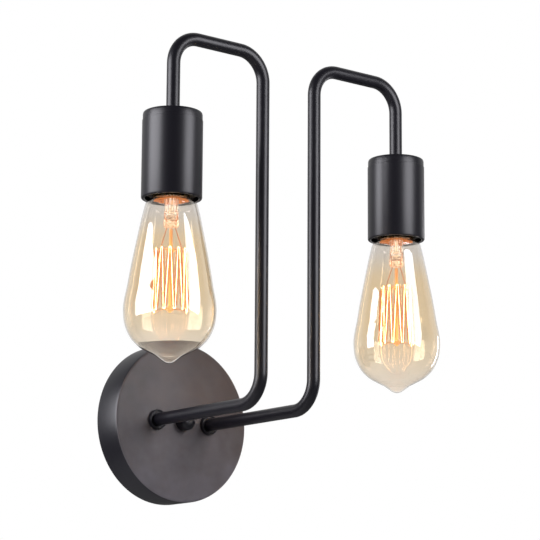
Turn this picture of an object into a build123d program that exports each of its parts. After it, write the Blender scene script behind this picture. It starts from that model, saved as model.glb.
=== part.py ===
"""Industrial two-arm pipe wall light, in millimetres.

The wall is the plane Y = 0 and the light stands out of it towards -Y. X runs
to the right along the wall for a person who faces it, and Z is up. The origin
is the middle of the canopy's back. Everything on the left (-X) arm is repeated
on the right (+X) arm, so pieces are made for side = -1 and side = +1.
"""
import os
from math import cos, pi, radians, sin

from build123d import *

# ---------------------------------------------------------------- dimensions
# canopy: a pressed steel pan, open towards the wall
CANOPY_D, CANOPY_DEPTH, CANOPY_SHEET, CANOPY_EDGE_R = 120.0, 25.0, 1.2, 2.0

# arms: 3/8 inch steel tube, bent three times round one die
ARM_X = 24.0            # from the light's middle to each arm
REACH = 150.0           # from the wall to the upright run
TOP_Z = 252.5           # height of the top run
SOCKET_OUT = 80.0       # from the upright run to the lamp's axis
TUBE_D, TUBE_WALL, BEND_R = 9.5, 1.0, 21.0
TUBE_TAIL = 12.0        # threaded tube behind the canopy's face
TUBE_DROP = 11.5        # threaded tube below the cup's top

# collar and nuts that clamp each arm to the canopy
COLLAR_D, COLLAR_H, COLLAR_LIP_D, COLLAR_RECESS = 15.0, 3.4, 12.6, 1.1
THREAD_GAP = 0.05       # play between a threaded tube and what screws on it
LOCKNUT_AF, LOCKNUT_H = 14.0, 3.5
WASHER_D, WASHER_T, WASHER_TEETH = 16.0, 0.8, 12

# crossbar on the outlet box, with its stud and cap nut
BAR_L, BAR_W, BAR_T = 102.0, 20.0, 2.0
SLOT_SPACING, SLOT_L, SLOT_W = 79.4, 14.6, 5.0
NIPPLE_D, NIPPLE_BORE = 9.5, 6.4
CAP_NUT_D, CAP_NUT_H, CAP_NUT_DOME, CAP_NUT_DEPTH = 12.6, 10.0, 3.0, 6.5
GROUND_X, GROUND_HEAD_D, GROUND_HEAD_H, GROUND_THREAD_D = 15.5, 8.0, 2.6, 4.2

# socket cup
CUP_D, CUP_L, CUP_WALL, CUP_TOP_Z = 42.5, 62.0, 1.0, 195.5
CUP_CAP_H, CUP_STEP, CUP_TOP_R = 6.0, 0.35, 1.8
CUP_LIP_D, CUP_LIP_R = 37.6, 1.2
NECK_RING_D, NECK_RING_H = 12.8, 2.0

# lampholder inside the cup
HOLDER_D, HOLDER_UP, HOLDER_TOP, HOLDER_BORE_D = 36.0, 3.0, 50.0, 27.8
HOLDER_BOSS_D, HOLDER_FLOOR = 17.0, 28.0
SHELL_BORE_D, SHELL_WALL, SHELL_UP = 26.7, 0.4, 4.0
TERMINAL_R, TERMINAL_HEAD_D, TERMINAL_HEAD_H = 13.2, 6.0, 2.0

# ST64 lamp: heights are above its tip, and its glass ends at the cup's mouth
LAMP_D, LAMP_WIDEST_Z, GLASS_L, GLASS_WALL = 64.0, 34.0, 115.0, 0.9
NECK_BEND = (18.3, 110.5)       # radius and height where the neck turns in
NECK_TUBE_R, NECK_TUBE_L = 12.2, 1.2
BASE_D, BASE_WALL, BASE_L = 26.0, 0.5, 21.8
INSULATOR_L, INSULATOR_TOP_D = 2.8, 15.0
BUTTON_D, BUTTON_H = 9.5, 1.6
STEM_D, STEM_WALL, STEM_END = 10.0, 1.0, 102.5
PRESS_W, PRESS_T, PRESS_L = 10.4, 4.2, 8.0
ROD_D, ROD_END, BEAD_D, BEAD_H = 2.4, 36.0, 5.4, 3.2
CAGE_TOP_R, CAGE_TOP_Z = 10.8, 79.0
CAGE_FOOT_R, CAGE_FOOT_Z = 12.2, 36.2
FEET, STRAND_STEP = 8, 16.5     # lower hooks, one more than upper; turn along one strand
OPEN_TURN = 51.4                # direction of the cage's open side, between the two leads
HOOK_WIRE, FILAMENT_WIRE, LEAD_WIRE, HOOK_W = 0.45, 0.5, 0.7, 1.3

SIDES = {"left": -1, "right": 1}
MOUTH_Z = CUP_TOP_Z - CUP_L             # plane of the cup's mouth
LAMP_TIP_Z = MOUTH_Z - GLASS_L
FACE_Y = -CANOPY_DEPTH                  # canopy's front face
UP = (Align.CENTER, Align.CENTER, Align.MIN)
DOWN = (Align.CENTER, Align.CENTER, Align.MAX)


# ------------------------------------------------------------------- helpers
def from_wall(x: float, y: float, z: float = 0.0) -> Plane:
    """A plane at a point whose normal points out of the wall, along -Y."""
    return Plane(origin=(x, y, z), x_dir=(1, 0, 0), z_dir=(0, -1, 0))


def lamp_axis(side: int, z: float) -> Location:
    """A place on one lamp's upright axis."""
    return Pos(side * (ARM_X + SOCKET_OUT), -REACH, z)


def ring(outer_d: float, inner_d: float, height: float) -> Part:
    """A plain ring that stands on z = 0."""
    return Cylinder(outer_d / 2, height, align=UP) - Cylinder(inner_d / 2, height, align=UP)


def turned(*edges: Edge) -> Part:
    """A solid turned about Z from a closed outline in the XZ plane."""
    return revolve(make_face(Wire.combine(list(edges))[0]), Axis.Z)


def outline(*points: tuple[float, float]) -> list[Edge]:
    """Straight edges in the XZ plane through (radius, height) points, closed."""
    corners = [(r, 0, z) for r, z in points]
    return [Edge.make_line(a, b) for a, b in zip(corners, corners[1:] + corners[:1])]


def stick(start: tuple, end: tuple, width: float) -> Part:
    """A thin six-sided wire between two points."""
    run = Edge.make_line(start, end)
    section = Plane(origin=start, z_dir=run % 0) * RegularPolygon(width / 2, 6)
    return extrude(section, run.length)


def on_circle(radius: float, turn: float, z: float) -> tuple[float, float, float]:
    """A point at a radius, a turn in degrees and a height."""
    return (radius * cos(radians(turn)), radius * sin(radians(turn)), z)


# ------------------------------------------------------------ wall and canopy
def canopy() -> Part:
    """Pressed pan with a rounded front edge and three holes in its face."""
    pan = extrude(from_wall(0, 0) * Circle(CANOPY_D / 2), CANOPY_DEPTH)
    front = pan.faces().sort_by(Axis.Y)[0]
    pan = fillet(front.edges(), CANOPY_EDGE_R)
    inside = CANOPY_D / 2 - CANOPY_SHEET
    hollow = extrude(from_wall(0, 0) * Circle(inside), CANOPY_DEPTH - CANOPY_SHEET)
    hollow = fillet(hollow.faces().sort_by(Axis.Y)[0].edges(), CANOPY_EDGE_R - CANOPY_SHEET)
    pan -= hollow
    for x, hole_d in ((-ARM_X, TUBE_D + 0.3), (ARM_X, TUBE_D + 0.3), (0, NIPPLE_D + 0.6)):
        pan -= extrude(from_wall(x, 0) * Circle(hole_d / 2), CANOPY_DEPTH)
    return pan


def crossbar() -> Part:
    """Flat steel strap with round ends, two slots and a tapped middle."""
    blank = SlotOverall(BAR_L, BAR_W)
    for side in SIDES.values():
        blank -= Pos(side * SLOT_SPACING / 2, 0) * SlotOverall(SLOT_L, SLOT_W)
    blank -= Circle(NIPPLE_D / 2 + THREAD_GAP)
    blank -= Pos(GROUND_X, 0) * Circle(GROUND_THREAD_D / 2 + THREAD_GAP)
    return extrude(from_wall(0, 0) * blank, BAR_T)


def hex_nut(plane: Plane, bore_d: float, across: float, height: float) -> Part:
    """Hexagon nut with chamfered corners; it grows along the plane's normal."""
    nut = extrude(RegularPolygon(across / 2, 6, major_radius=False), height)
    corner = across / cos(pi / 6)
    cone = Cone(corner / 2 + 0.15, across / 2 - 0.1, height * 0.9, align=UP)
    nut &= Pos(0, 0, height * 0.1) * cone + Cylinder(corner / 2 + 0.2, height * 0.7, align=UP)
    return plane * (nut - Cylinder(bore_d / 2, height, align=UP))


def nipple() -> Part:
    """Hollow threaded stud from the crossbar to inside the cap nut."""
    length = CANOPY_DEPTH + CAP_NUT_DEPTH - 0.5
    tube = ring(NIPPLE_D, NIPPLE_BORE, length)
    return from_wall(0, 0) * chamfer(tube.edges().filter_by(GeomType.CIRCLE), 0.5)


def cap_nut() -> Part:
    """Round domed nut that holds the canopy, with a blind tapped bore."""
    body = Cylinder(CAP_NUT_D / 2, CAP_NUT_H, align=UP)
    body = fillet(body.edges().sort_by(Axis.Z)[-1], CAP_NUT_DOME)
    body = chamfer(body.edges().sort_by(Axis.Z)[0], 0.4)
    body -= Cylinder(NIPPLE_D / 2 + THREAD_GAP, CAP_NUT_DEPTH, align=UP)
    return from_wall(0, FACE_Y) * body


def ground_screw() -> Part:
    """Hexagon washer-head screw in the crossbar, with its driver slot."""
    head = Cylinder(GROUND_HEAD_D / 2, 0.8, align=UP)
    head += extrude(RegularPolygon(3.0, 6, major_radius=False), GROUND_HEAD_H)
    head -= Pos(0, 0, GROUND_HEAD_H) * Box(7.0, 1.0, 1.6)
    shank = Cylinder(GROUND_THREAD_D / 2, BAR_T, align=DOWN)
    return from_wall(GROUND_X, -BAR_T) * (head + shank)


# ----------------------------------------------------------------------- arms
def arm(side: int) -> Part:
    """Bent tube: out of the canopy, up, sideways and down to the cup."""
    x, out = side * ARM_X, side * (ARM_X + SOCKET_OUT)
    corners = [
        (x, FACE_Y + TUBE_TAIL, 0), (x, -REACH, 0), (x, -REACH, TOP_Z),
        (out, -REACH, TOP_Z), (out, -REACH, CUP_TOP_Z - TUBE_DROP),
    ]
    path = FilletPolyline(*corners, radius=BEND_R)
    section = Circle(TUBE_D / 2) - Circle(TUBE_D / 2 - TUBE_WALL)
    tube = sweep(Plane(path @ 0, z_dir=path % 0) * section, path=path)
    if side < 0:
        print("arm: length %.1f mm, volume over section %.4f"
              % (path.length, tube.volume / (section.area * path.length)))
    return tube


def collar(side: int) -> Part:
    """Ring nut on the canopy's face, with a rounded rim round a recess."""
    lip = (COLLAR_D - COLLAR_LIP_D) / 2
    body = Cylinder(COLLAR_D / 2, COLLAR_H, align=UP)
    body -= Pos(0, 0, COLLAR_H) * Cylinder(COLLAR_LIP_D / 2, COLLAR_RECESS, align=DOWN)
    rims = body.faces().filter_by(Plane.XY).sort_by(Axis.Z)[-1].edges()
    body = fillet(rims, lip * 0.4)
    body -= Cylinder(TUBE_D / 2 + THREAD_GAP, COLLAR_H, align=UP)
    return from_wall(side * ARM_X, FACE_Y) * body


def arm_washer(side: int) -> Part:
    """Toothed lock washer behind the canopy's face."""
    bore = TUBE_D / 2 + THREAD_GAP
    disc = Circle(WASHER_D / 2) - Circle(bore)
    notch = Pos(WASHER_D / 2, 0) * Rectangle(3.2, 1.4)
    for i in range(WASHER_TEETH):
        disc -= Rot(0, 0, i * 360 / WASHER_TEETH) * notch
    back = FACE_Y + CANOPY_SHEET + WASHER_T
    return extrude(from_wall(side * ARM_X, back) * disc, WASHER_T)


def arm_locknut(side: int) -> Part:
    """Hexagon nut that pulls the arm's collar against the canopy."""
    back = FACE_Y + CANOPY_SHEET + WASHER_T
    plane = Plane(origin=(side * ARM_X, back, 0), x_dir=(1, 0, 0), z_dir=(0, 1, 0))
    return hex_nut(plane, TUBE_D + 2 * THREAD_GAP, LOCKNUT_AF, LOCKNUT_H)


# ------------------------------------------------------------ cup, lampholder
def neck_ring(side: int) -> Part:
    """Small round nut between the tube and the cup's top."""
    body = ring(NECK_RING_D, TUBE_D + 2 * THREAD_GAP, NECK_RING_H)
    top = body.edges().filter_by(GeomType.CIRCLE).group_by(Axis.Z)[-1].sort_by(SortBy.RADIUS)[-1]
    return lamp_axis(side, CUP_TOP_Z) * fillet(top, 0.8)


def cup(side: int) -> Part:
    """Turned cup: a slightly narrower cap, a straight wall and a turned-in lip."""
    radius, cap_r = CUP_D / 2, CUP_D / 2 - CUP_STEP
    body = Cylinder(radius, CUP_L - CUP_CAP_H, align=UP)
    body += Pos(0, 0, CUP_L - CUP_CAP_H) * Cylinder(cap_r, CUP_CAP_H, align=UP)
    rims = body.edges().filter_by(GeomType.CIRCLE).sort_by(Axis.Z)
    body = fillet(rims[-1], CUP_TOP_R)
    body = fillet(body.edges().filter_by(GeomType.CIRCLE).sort_by(Axis.Z)[0], CUP_LIP_R)
    hollow = Pos(0, 0, CUP_WALL) * Cylinder(radius - CUP_WALL, CUP_L - CUP_CAP_H - CUP_WALL, align=UP)
    hollow += Pos(0, 0, CUP_WALL) * Cylinder(cap_r - CUP_WALL, CUP_L - 2 * CUP_WALL, align=UP)
    body -= hollow
    body -= Cylinder(CUP_LIP_D / 2, CUP_WALL, align=UP)
    body -= Pos(0, 0, CUP_L) * Cylinder(TUBE_D / 2 + 0.15, 2 * CUP_WALL)
    return lamp_axis(side, MOUTH_Z) * body


def cup_locknut(side: int) -> Part:
    """Hexagon nut inside the cup, under its top."""
    top = CUP_TOP_Z - CUP_WALL
    plane = Plane(lamp_axis(side, top)).rotated((180, 0, 0))
    return hex_nut(plane, TUBE_D + 2 * THREAD_GAP, LOCKNUT_AF, LOCKNUT_H)


def lampholder(side: int) -> Part:
    """Moulded holder: a round body over the screw shell and a tapped boss."""
    radius, boss_r, bore_r = HOLDER_D / 2, HOLDER_BOSS_D / 2, HOLDER_BORE_D / 2
    boss_top = CUP_L - CUP_WALL - LOCKNUT_H
    body = turned(*outline(
        (bore_r, HOLDER_UP), (radius, HOLDER_UP), (radius, HOLDER_TOP - 3), (radius - 3, HOLDER_TOP),
        (boss_r, HOLDER_TOP), (boss_r, boss_top), (TUBE_D / 2 + THREAD_GAP, boss_top),
        (TUBE_D / 2 + THREAD_GAP, CUP_L - TUBE_DROP), (3.4, CUP_L - TUBE_DROP),
        (3.4, HOLDER_FLOOR), (bore_r, HOLDER_FLOOR),
    ))
    for turn in (0, 180):       # wireways beside the terminals
        body -= Rot(0, 0, turn) * Pos(0, TERMINAL_R, HOLDER_TOP) * Box(6.0, 5.0, 12.0)
        body -= Rot(0, 0, turn) * Pos(TERMINAL_R, 0, HOLDER_TOP) * Cylinder(
            1.6 + THREAD_GAP, 12.0)
    return lamp_axis(side, MOUTH_Z) * body


def screw_shell(side: int) -> Part:
    """Thin metal shell that the lamp's base screws into."""
    inner, outer = SHELL_BORE_D / 2, SHELL_BORE_D / 2 + SHELL_WALL
    shell = turned(*outline(
        (inner, SHELL_UP), (outer, SHELL_UP), (outer, HOLDER_FLOOR), (6.0, HOLDER_FLOOR),
        (6.0, HOLDER_FLOOR - SHELL_WALL), (inner, HOLDER_FLOOR - SHELL_WALL),
    ))
    return lamp_axis(side, MOUTH_Z) * shell


def centre_contact(side: int) -> Part:
    """Bent spring tongue above the lamp's button."""
    tongue = extrude(SlotOverall(9.0, 4.0), 0.6)
    tongue += Pos(-2.6, 0, 0) * Cylinder(1.8, HOLDER_FLOOR - contact_z(), align=UP)
    return lamp_axis(side, MOUTH_Z + contact_z()) * tongue


def contact_z() -> float:
    """Height of the centre contact above the cup's mouth: just off the button."""
    return BASE_L + INSULATOR_L + BUTTON_H + 0.2


def terminal_screw(side: int, turn: int) -> Part:
    """Slotted terminal screw on the holder's shoulder."""
    head = Cylinder(TERMINAL_HEAD_D / 2, TERMINAL_HEAD_H, align=UP)
    head = fillet(head.edges().sort_by(Axis.Z)[-1], 0.6)
    head -= Pos(0, 0, TERMINAL_HEAD_H) * Box(7.0, 1.0, 1.6)
    head += Cylinder(1.6, 5.0, align=DOWN)
    place = Rot(0, 0, turn) * Pos(TERMINAL_R, 0, 0)
    return lamp_axis(side, MOUTH_Z + HOLDER_TOP) * place * head


# ----------------------------------------------------------------------- lamp
def at(r: float, z: float) -> Vector:
    """A point of a lamp outline in the XZ plane."""
    return Vector(r, 0, z)


def glass_outline() -> list[Edge]:
    """The lamp's outer outline: nipple, globe, long cone and shoulder."""
    globe = Edge.make_spline(
        [at(0, 0), at(5.4, 2.2), at(9.4, 5.2), at(14.6, 7.9), at(21.4, 12.0), at(28.3, 20.3),
         at(LAMP_D / 2, LAMP_WIDEST_Z)], tangents=[at(1, 0), at(0, 1)])
    cone = Edge.make_spline(
        [at(LAMP_D / 2, LAMP_WIDEST_Z), at(29.1, 56), at(23.6, 86), at(*NECK_BEND)],
        tangents=[at(0, 1), at(-0.2, 1)])
    shoulder = Edge.make_spline(
        [at(*NECK_BEND), at(NECK_TUBE_R, GLASS_L)], tangents=[at(-0.2, 1), at(-0.15, 1)])
    neck = Edge.make_line(at(NECK_TUBE_R, GLASS_L), at(NECK_TUBE_R, GLASS_L + NECK_TUBE_L))
    return [globe, cone, shoulder, neck]


def inset(edge: Edge, wall: float, count: int) -> Edge:
    """A spline at one wall inside an outline edge."""
    points = []
    for i in range(count + 1):
        along, point = edge % (i / count), edge @ (i / count)
        points.append(point + at(-along.Z, along.X) * wall)
    return Edge.make_spline(points, tangents=[edge % 0, edge % 1])


def glass(side: int) -> Part:
    """Blown envelope, hollow, open only where the stem seals its neck."""
    outside = glass_outline()
    neck_top = GLASS_L + NECK_TUBE_L
    inner_r = NECK_TUBE_R - GLASS_WALL
    inside = [inset(edge, GLASS_WALL, count) for edge, count in zip(outside[:3], (12, 6, 5))]
    inside.append(Edge.make_line(inside[-1] @ 1, at(inner_r, neck_top)))
    ends = [Edge.make_line(outside[-1] @ 1, inside[-1] @ 1), Edge.make_line(at(0, 0), inside[0] @ 0)]
    return lamp_axis(side, LAMP_TIP_Z) * turned(*outside, *inside, *ends)


def lamp_base(side: int) -> Part:
    """Brass screw base round the neck, rolled in at its top."""
    outer, inner = BASE_D / 2, BASE_D / 2 - BASE_WALL
    body = turned(*outline(
        (inner, 0.3), (outer, 0.3), (outer, BASE_L - 3), (INSULATOR_TOP_D / 2 + 2.5, BASE_L),
        (INSULATOR_TOP_D / 2 + 2.5 - BASE_WALL, BASE_L), (INSULATOR_TOP_D / 2 + 2.5 - BASE_WALL, BASE_L - 0.7),
        (inner, BASE_L - 3.4),
    ))
    return lamp_axis(side, MOUTH_Z) * body


def lamp_insulator(side: int) -> Part:
    """Black glass cone between the base and its button."""
    low = INSULATOR_TOP_D / 2 + 2.5 - BASE_WALL
    body = turned(*outline(
        (0, BASE_L - 0.7), (low, BASE_L - 0.7), (low, BASE_L), (INSULATOR_TOP_D / 2 - 1, BASE_L + INSULATOR_L),
        (0, BASE_L + INSULATOR_L),
    ))
    return lamp_axis(side, MOUTH_Z) * body


def lamp_button(side: int) -> Part:
    """Soldered centre contact on the lamp's end."""
    button = Cylinder(BUTTON_D / 2, BUTTON_H, align=UP)
    button = fillet(button.edges().sort_by(Axis.Z)[-1], 1.2)
    return lamp_axis(side, MOUTH_Z + BASE_L + INSULATOR_L) * button


def stem(side: int) -> Part:
    """Glass stem: flare sealed in the neck, tube, flat press, rod and two beads."""
    flare_r, tube_r = NECK_TUBE_R - GLASS_WALL, STEM_D / 2
    rim = GLASS_L + NECK_TUBE_L
    bell = GLASS_L - 2.5
    flare_out = Edge.make_spline([at(flare_r, rim - 0.5), at(tube_r, bell)],
                                 tangents=[at(-1, 0), at(0, -1)])
    flare_in = Edge.make_spline([at(flare_r - 1.2, rim), at(tube_r - STEM_WALL, bell)],
                                tangents=[at(-1, 0), at(0, -1)])
    tube = turned(
        flare_out,
        Edge.make_line(at(tube_r, bell), at(tube_r, STEM_END)),
        Edge.make_line(at(tube_r, STEM_END), at(tube_r - STEM_WALL, STEM_END)),
        Edge.make_line(at(tube_r - STEM_WALL, STEM_END), at(tube_r - STEM_WALL, bell)),
        flare_in,
        Edge.make_line(at(flare_r - 1.2, rim), at(flare_r, rim)),
        Edge.make_line(at(flare_r, rim), at(flare_r, rim - 0.5)),
    )
    press = Pos(0, 0, STEM_END - PRESS_L) * Box(PRESS_W, PRESS_T, PRESS_L, align=UP)
    press = fillet(press.edges().filter_by(Axis.Z), 1.5)
    pinch = loft([Plane.XY.offset(STEM_END) * Circle(tube_r),
                  Plane.XY.offset(STEM_END - 3) * RectangleRounded(PRESS_W, PRESS_T, 1.5)])
    rod = Pos(0, 0, ROD_END) * Cylinder(ROD_D / 2, STEM_END - PRESS_L - ROD_END + 1, align=UP)
    beads = Part()
    for z in (CAGE_TOP_Z, CAGE_FOOT_Z + 1.6):
        bead = Pos(0, 0, z) * Cylinder(BEAD_D / 2, BEAD_H)
        beads += fillet(bead.edges().filter_by(GeomType.CIRCLE), 1.0)
    turned_stem = Rot(0, 0, OPEN_TURN - 90) * (tube + press + pinch + rod + beads)
    return lamp_axis(side, LAMP_TIP_Z) * turned_stem


def strand_turn(i: int) -> float:
    """Direction of the filament's i-th end or hook, counted from its first end."""
    return OPEN_TURN + 180 + (i - FEET) * STRAND_STEP


def hook_turns(upper: bool) -> list[float]:
    """Directions of the hooks: the upper ones lie midway between the lower."""
    return [strand_turn(i) for i in range(2 if upper else 1, 2 * FEET, 2)]


def supports(side: int, upper: bool) -> Part:
    """A star of fine wires that carries the filament, set in a glass bead."""
    radius, z = (CAGE_TOP_R, CAGE_TOP_Z) if upper else (CAGE_FOOT_R, CAGE_FOOT_Z)
    hub_z = z if upper else z + 1.6
    hub = Pos(0, 0, hub_z) * ring(BEAD_D + 0.9, BEAD_D, 0.6)
    wires = [stick(on_circle(BEAD_D / 2 + 0.1, turn, hub_z + 0.3), on_circle(radius, turn, z),
                   HOOK_WIRE) for turn in hook_turns(upper)]
    return lamp_axis(side, LAMP_TIP_Z) * (hub + wires)


def cage_points() -> list[tuple[float, float, float]]:
    """The filament's route: up and down between the lower and upper hooks."""
    route = [on_circle(CAGE_TOP_R, strand_turn(0), CAGE_TOP_Z)]
    for i in range(1, 2 * FEET):
        radius, z = (CAGE_FOOT_R, CAGE_FOOT_Z) if i % 2 else (CAGE_TOP_R, CAGE_TOP_Z)
        half = HOOK_W / 2 / radius * 180 / pi
        route += [on_circle(radius, strand_turn(i) - half, z),
                  on_circle(radius, strand_turn(i) + half, z)]
    route.append(on_circle(CAGE_TOP_R, strand_turn(2 * FEET), CAGE_TOP_Z))
    return route


def filament(side: int) -> Part:
    """One wire in a cage of long upright strands, six-sided and mitred."""
    route = cage_points()
    path = Polyline(*route)
    section = Plane(origin=path @ 0, z_dir=path % 0) * RegularPolygon(FILAMENT_WIRE / 2, 6)
    wire = sweep(section, path=path, transition=Transition.RIGHT)
    return lamp_axis(side, LAMP_TIP_Z) * wire


def lead(side: int, first: bool) -> Part:
    """Lead-in wire from the press down and out to one end of the filament."""
    end = cage_points()[0 if first else -1]
    way = OPEN_TURN + (90 if first else -90)
    start = on_circle(PRESS_W / 2 - 2.0, way, STEM_END - PRESS_L)
    return lamp_axis(side, LAMP_TIP_Z) * stick(start, end, LEAD_WIRE)


# ---------------------------------------------------------------------- write
def build() -> dict[str, Part]:
    """Every piece of the light by its node name."""
    pieces = {
        "canopy": canopy(),
        "crossbar": crossbar(),
        "nipple": nipple(),
        "nipple_locknut": hex_nut(from_wall(0, -BAR_T), NIPPLE_D + 2 * THREAD_GAP, LOCKNUT_AF,
                                  LOCKNUT_H),
        "cap_nut": cap_nut(),
        "ground_screw": ground_screw(),
    }
    for name, side in SIDES.items():
        pieces.update({
            f"arm_{name}": arm(side),
            f"collar_{name}": collar(side),
            f"arm_washer_{name}": arm_washer(side),
            f"arm_locknut_{name}": arm_locknut(side),
            f"neck_ring_{name}": neck_ring(side),
            f"cup_{name}": cup(side),
            f"cup_locknut_{name}": cup_locknut(side),
            f"lampholder_{name}": lampholder(side),
            f"screw_shell_{name}": screw_shell(side),
            f"centre_contact_{name}": centre_contact(side),
            f"live_terminal_{name}": terminal_screw(side, 0),
            f"neutral_terminal_{name}": terminal_screw(side, 180),
            f"lamp_glass_{name}": glass(side),
            f"lamp_base_{name}": lamp_base(side),
            f"lamp_insulator_{name}": lamp_insulator(side),
            f"lamp_button_{name}": lamp_button(side),
            f"lamp_stem_{name}": stem(side),
            f"upper_supports_{name}": supports(side, True),
            f"lower_supports_{name}": supports(side, False),
            f"filament_{name}": filament(side),
            f"lead_a_{name}": lead(side, True),
            f"lead_b_{name}": lead(side, False),
        })
    return pieces


def main() -> None:
    """Write one STEP file for each piece."""
    os.makedirs("parts", exist_ok=True)
    for name, piece in build().items():
        export_step(piece, f"parts/{name}.step")


main()
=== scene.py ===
"""Looks of a lit two-arm pipe wall light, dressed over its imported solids.

Lengths are metres in the frame of the solids: the wall is the plane Y = 0, the
light stands out of it towards -Y, +X is right for a person who faces the wall
and +Z is up. The sub-assemblies hold their sizes in millimetres, and MM turns
these into metres.
"""
import logging
from collections.abc import Callable, Iterator
from contextlib import contextmanager
from dataclasses import dataclass
from enum import Enum
from functools import lru_cache
from math import cos, degrees, pi, radians, sin

import bpy
from mathutils import Matrix, Quaternion, Vector


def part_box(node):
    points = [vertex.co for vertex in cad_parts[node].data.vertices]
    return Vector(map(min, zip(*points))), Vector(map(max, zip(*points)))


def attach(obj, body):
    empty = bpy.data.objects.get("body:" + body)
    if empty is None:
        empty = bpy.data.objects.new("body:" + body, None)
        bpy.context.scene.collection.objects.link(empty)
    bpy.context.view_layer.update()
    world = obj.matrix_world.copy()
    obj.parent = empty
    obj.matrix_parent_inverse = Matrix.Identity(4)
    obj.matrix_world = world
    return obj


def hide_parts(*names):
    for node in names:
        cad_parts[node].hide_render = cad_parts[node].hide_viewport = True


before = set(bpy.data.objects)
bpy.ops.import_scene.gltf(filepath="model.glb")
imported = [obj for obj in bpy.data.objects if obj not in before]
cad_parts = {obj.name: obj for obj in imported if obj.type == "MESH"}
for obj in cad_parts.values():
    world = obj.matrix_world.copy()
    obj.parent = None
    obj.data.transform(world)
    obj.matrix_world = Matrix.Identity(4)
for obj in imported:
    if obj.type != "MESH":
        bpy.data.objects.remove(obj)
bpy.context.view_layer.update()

log = logging.getLogger("wall_light")
MM = 0.001
FIXTURE = "fixture"
ROUND = 1.0  # third number of an outline's point that isn't a corner
MITRE = 0.29  # how far in a quarter round's middle lies, for a radius of 1
ARC_PULL = 0.5523  # handle length of a quarter circle, for a radius of 1
MERGE = 0.002 * MM  # points closer than this become one
PAINT_GRAIN = 2600.0  # features of a paint's grain in a metre

Point = tuple[float, float, float]
Colour = tuple[float, float, float]
Ramp = tuple[tuple[float, Colour], ...]
Outline = list[tuple[float, ...]]
Plug = bpy.types.NodeSocket
Material = bpy.types.Material
Piece = bpy.types.Object
Choice = Callable[[bpy.types.MeshPolygon], bool]


class Side(Enum):
    """The two arms, as a person who faces the wall sees them."""

    LEFT = -1
    RIGHT = 1

    @property
    def word(self) -> str:
        """The side in lower case, as node names end with it."""
        return self.name.lower()

    def node(self, piece: str) -> str:
        """The name of this side's solid of a piece."""
        return f"{piece}_{self.word}"

    @property
    def lamp_body(self) -> str:
        """The body that turns with this side's lamp."""
        return f"lamp_{self.word}"

    @property
    def tip_body(self) -> str:
        """The body that slides with this side's lamp without turning."""
        return f"lamp_{self.word}_tip"


class Axis(Enum):
    """The two directions that turned pieces stand in."""

    UP = (0.0, 0.0, 0.0)
    OUT_OF_WALL = (pi / 2, 0.0, 0.0)


@lru_cache(maxsize=None)
def box(node: str) -> tuple[Point, Point]:
    """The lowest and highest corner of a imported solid."""
    low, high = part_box(node)
    return tuple(low), tuple(high)


def middle(node: str) -> Vector:
    """The middle of a solid's box."""
    low, high = box(node)
    return (Vector(low) + Vector(high)) / 2


# --------------------------------------------------------------------------
# finishes
# --------------------------------------------------------------------------
class Graph:
    """A node tree with short ways to add, set and join its nodes.

    Args:
        tree: the tree of a material or a world.
    """

    def __init__(self, tree: bpy.types.NodeTree) -> None:
        self.tree = tree

    def link(self, start: Plug, end: Plug) -> None:
        """Joins two sockets."""
        self.tree.links.new(start, end)

    def add(self, kind: str, inputs: dict[int | str, object] | None = None,
            **values: object) -> bpy.types.Node:
        """A new node.

        Args:
            kind: its type, without the words that all of them start with.
            inputs: what its sockets take, a value or another node's socket.
            values: its properties.

        Returns:
            The node.
        """
        node = self.tree.nodes.new(f"ShaderNode{kind}")
        for key, value in values.items():
            setattr(node, key, value)
        for key, value in (inputs or {}).items():
            if isinstance(value, bpy.types.NodeSocket):
                self.link(value, node.inputs[key])
            else:
                node.inputs[key].default_value = value
        return node

    def math(self, operation: str, *inputs: object) -> Plug:
        """The result of a sum on numbers and sockets."""
        return self.add("Math", dict(enumerate(inputs)), operation=operation).outputs[0]

    def mix(self, share: Plug, first: Plug, second: Plug) -> Plug:
        """Two surfaces in one, all of it the second where the share is 1."""
        return self.add("MixShader", {"Fac": share, 1: first, 2: second}).outputs[0]

    def span(self, value: Plug, start: tuple[float, float], end: tuple[float, float],
             **values: object) -> Plug:
        """Maps one range of numbers to another.

        Args:
            value: the number.
            start: its range.
            end: the range that it is mapped to.
            values: the node's own properties.

        Returns:
            The socket of the mapped number.
        """
        node = self.add("MapRange", {"Value": value, "From Min": start[0], "From Max": start[1],
                                     "To Min": end[0], "To Max": end[1]}, **values)
        return node.outputs["Result"]

    def along(self, way: Point, low: float, high: float, place: str = "Object",
              **values: object) -> Plug:
        """How far a point lies between two levels along a direction.

        Args:
            way: the direction.
            low: the level in metres that counts as 0.
            high: the level in metres that counts as 1.
            place: the kind of coordinates.
            values: properties of the node that maps the levels.

        Returns:
            The socket of the share, from 0 to 1.
        """
        spot = self.add("TexCoord").outputs[place]
        dot = self.add("VectorMath", {0: spot, 1: way}, operation="DOT_PRODUCT")
        return self.span(dot.outputs["Value"], (low, high), (0.0, 1.0), **values)


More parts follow.
